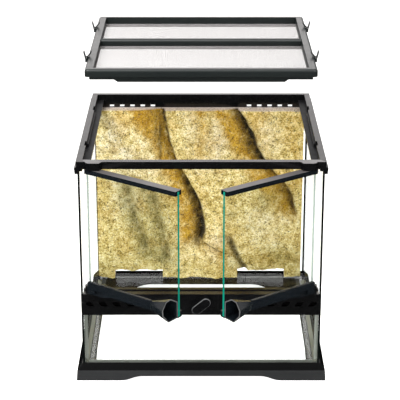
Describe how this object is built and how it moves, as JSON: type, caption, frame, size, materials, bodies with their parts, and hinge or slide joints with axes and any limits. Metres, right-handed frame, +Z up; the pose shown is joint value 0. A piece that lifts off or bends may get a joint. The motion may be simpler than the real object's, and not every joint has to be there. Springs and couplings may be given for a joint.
{
  "type": "glass terrarium cage",
  "caption": "Front-opening glass pet cage: black frame and base, double doors above a vent strip with a lock, lift-off screen lid with spring clips, and a rock-relief background.",
  "frame": {"origin": "centre of the footprint, on the surface that the base stands on", "axes": "+Z up; -Y towards the person who faces the doors; +X to that person's right"},
  "size_m": [0.474, 0.5962, 0.6146],
  "materials": {
    "base_plastic": "glossy black moulded plastic",
    "tank_glass": "clear float glass with a green edge",
    "door_glass": "clear float glass with a green edge",
    "silicone": "black silicone beads",
    "frame_plastic": "glossy black moulded plastic",
    "gate_plastic": "black moulded plastic",
    "door_plastic": "glossy black moulded plastic",
    "pin_steel": "plain steel pin",
    "strike_steel": "pressed steel",
    "lock_plastic": "glossy black moulded plastic",
    "vent_mesh_steel": "fine black steel mesh",
    "lid_plastic": "satin black moulded plastic",
    "screen_steel": "fine woven stainless screen",
    "clip_plastic": "satin black moulded plastic",
    "rock_foam": "painted foam rock relief"
  },
  "bodies": {
    "tank": {"base_frame": "base_plastic", "floor_glass": "tank_glass", "left_glass": "tank_glass", "right_glass": "tank_glass", "back_glass": "tank_glass", "front_glass": "tank_glass", "silicone_seams": "silicone", "top_frame": "frame_plastic", "inlet_plate_left": "frame_plastic", "inlet_plate_right": "frame_plastic", "vent_strip": "frame_plastic", "vent_mesh": "vent_mesh_steel", "rock_background": "rock_foam"},
    "left_door": {"left_door_glass": "door_glass", "left_top_rail": "door_plastic", "left_bottom_rail": "door_plastic", "left_handle": "door_plastic", "left_upper_pin": "pin_steel", "left_lower_pin": "pin_steel", "left_strike": "strike_steel"},
    "right_door": {"right_door_glass": "door_glass", "right_top_rail": "door_plastic", "right_bottom_rail": "door_plastic", "right_handle": "door_plastic", "right_upper_pin": "pin_steel", "right_lower_pin": "pin_steel", "right_strike": "strike_steel"},
    "lock": {"lock_knob": "lock_plastic", "lock_spindle": "lock_plastic", "lock_cam": "strike_steel", "lock_retainer": "strike_steel"},
    "lid": {"lid_frame": "lid_plastic", "lid_crossbar": "lid_plastic", "lid_screen_front": "screen_steel", "lid_screen_rear": "screen_steel", "screen_retainer": "lid_plastic", "clip_mounts": "lid_plastic"},
    "clip_front_left": {"clip_front_left": "clip_plastic"},
    "clip_rear_left": {"clip_rear_left": "clip_plastic"},
    "clip_front_right": {"clip_front_right": "clip_plastic"},
    "clip_rear_right": {"clip_rear_right": "clip_plastic"},
    "gate_left": {"cable_gate_left": "gate_plastic"},
    "gate_right": {"cable_gate_right": "gate_plastic"}
  },
  "joints": [
    {"name": "lid_lift", "type": "slide", "parent": "tank", "child": "lid", "axis": [0, 0, 1], "range_m": [-0.166, 0]},
    {"name": "left_door_hinge", "type": "hinge", "parent": "tank", "child": "left_door", "pos_m": [-0.204, -0.222, 0.3], "axis": [0, 0, -1], "range_deg": [-36.5, 78.5]},
    {"name": "right_door_hinge", "type": "hinge", "parent": "tank", "child": "right_door", "pos_m": [0.204, -0.222, 0.3], "axis": [0, 0, 1], "range_deg": [-36.5, 78.5]},
    {"name": "lock_turn", "type": "hinge", "parent": "tank", "child": "lock", "pos_m": [0, -0.227, 0.154], "axis": [0, -1, 0], "range_deg": [-40, 50]},
    {"name": "clip_front_left_hinge", "type": "hinge", "parent": "lid", "child": "clip_front_left", "pos_m": [-0.211, -0.117, 0.6], "axis": [0, 1, 0], "range_deg": [0, 10], "stiffness_Nm_per_rad": 0.05},
    {"name": "clip_front_right_hinge", "type": "hinge", "parent": "lid", "child": "clip_front_right", "pos_m": [0.211, -0.117, 0.6], "axis": [0, -1, 0], "range_deg": [0, 10], "stiffness_Nm_per_rad": 0.05},
    {"name": "clip_rear_left_hinge", "type": "hinge", "parent": "lid", "child": "clip_rear_left", "pos_m": [-0.211, 0.117, 0.6], "axis": [0, 1, 0], "range_deg": [0, 10], "stiffness_Nm_per_rad": 0.05},
    {"name": "clip_rear_right_hinge", "type": "hinge", "parent": "lid", "child": "clip_rear_right", "pos_m": [0.211, 0.117, 0.6], "axis": [0, -1, 0], "range_deg": [0, 10], "stiffness_Nm_per_rad": 0.05},
    {"name": "gate_left_slide", "type": "slide", "parent": "tank", "child": "gate_left", "axis": [1, 0, 0], "range_m": [0, 0.01075]},
    {"name": "gate_right_slide", "type": "slide", "parent": "tank", "child": "gate_right", "axis": [-1, 0, 0], "range_m": [0, 0.01075]}
  ]
}
